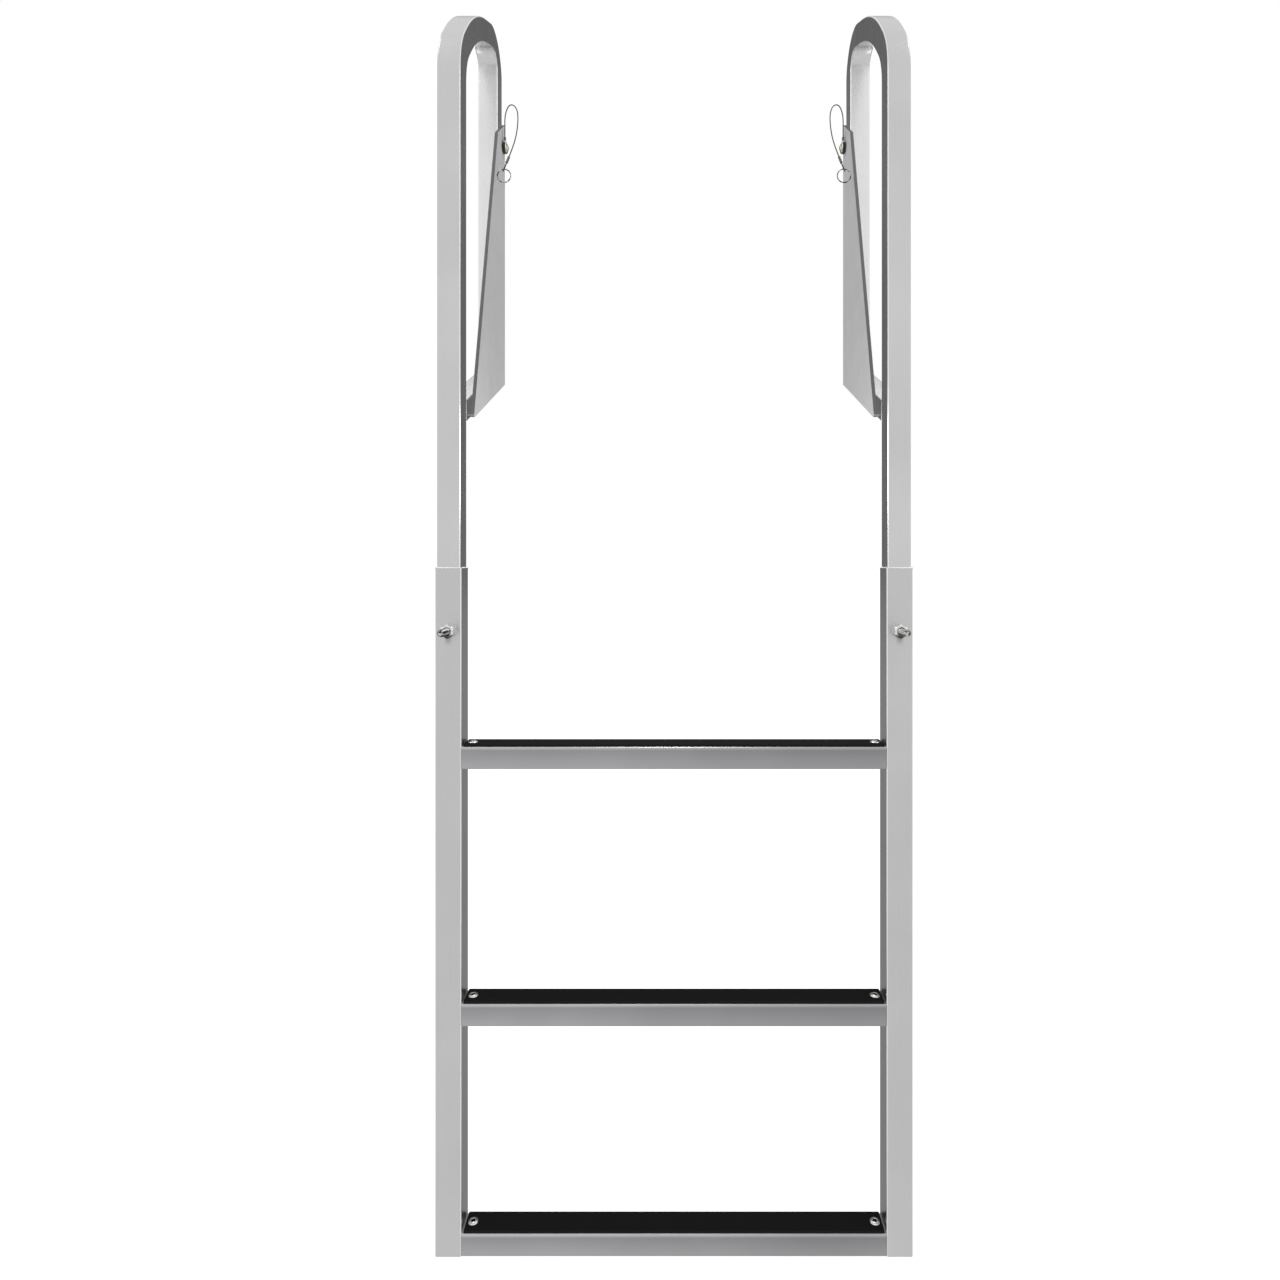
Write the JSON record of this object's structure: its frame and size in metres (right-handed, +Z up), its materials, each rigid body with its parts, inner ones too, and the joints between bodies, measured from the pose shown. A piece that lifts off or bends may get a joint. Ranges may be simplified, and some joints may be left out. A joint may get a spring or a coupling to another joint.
{
  "type": "dock ladder",
  "caption": "Removable aluminium dock ladder with looped handrails, rubber-topped steps and folded dock brackets locked by pull-out pins on wire lanyards.",
  "frame": {"origin": "middle of the left bracket's dock face, halfway between its two bolt holes", "axes": "+X to the viewer's right along the steps, +Y out of the ladder into the dock, +Z up along the rails"},
  "size_m": [0.5163, 0.2384, 1.4362],
  "materials": {
    "aluminium_tube": "satin",
    "bracket_plate": "satin",
    "black_rubber": "matte",
    "stainless_steel": "polished"
  },
  "bodies": {
    "ladder": {"left_handrail": "aluminium_tube", "left_loop_strut": "aluminium_tube", "left_lower_rail": "aluminium_tube", "left_dock_bracket": "bracket_plate", "left_joint_bolt": "stainless_steel", "left_joint_nut": "stainless_steel", "right_handrail": "aluminium_tube", "right_loop_strut": "aluminium_tube", "right_lower_rail": "aluminium_tube", "right_dock_bracket": "bracket_plate", "right_joint_bolt": "stainless_steel", "right_joint_nut": "stainless_steel", "upper_step": "aluminium_tube", "upper_step_mat": "black_rubber", "upper_step_left_screw": "stainless_steel", "upper_step_right_screw": "stainless_steel", "middle_step": "aluminium_tube", "middle_step_mat": "black_rubber", "middle_step_left_screw": "stainless_steel", "middle_step_right_screw": "stainless_steel", "lower_step": "aluminium_tube", "lower_step_mat": "black_rubber", "lower_step_left_screw": "stainless_steel", "lower_step_right_screw": "stainless_steel"},
    "left_pin": {"left_lock_pin": "stainless_steel", "left_pin_lanyard": "stainless_steel", "left_top_ferrule": "stainless_steel", "left_end_ferrule": "stainless_steel", "left_pin_ring": "stainless_steel"},
    "right_pin": {"right_lock_pin": "stainless_steel", "right_pin_lanyard": "stainless_steel", "right_top_ferrule": "stainless_steel", "right_end_ferrule": "stainless_steel", "right_pin_ring": "stainless_steel"}
  },
  "joints": [
    {"name": "left_pin_slide", "type": "slide", "parent": "ladder", "child": "left_pin", "axis": [1, 0, 0], "range_m": [0, 0.036]},
    {"name": "right_pin_slide", "type": "slide", "parent": "ladder", "child": "right_pin", "axis": [-1, 0, 0], "range_m": [0, 0.036]}
  ]
}
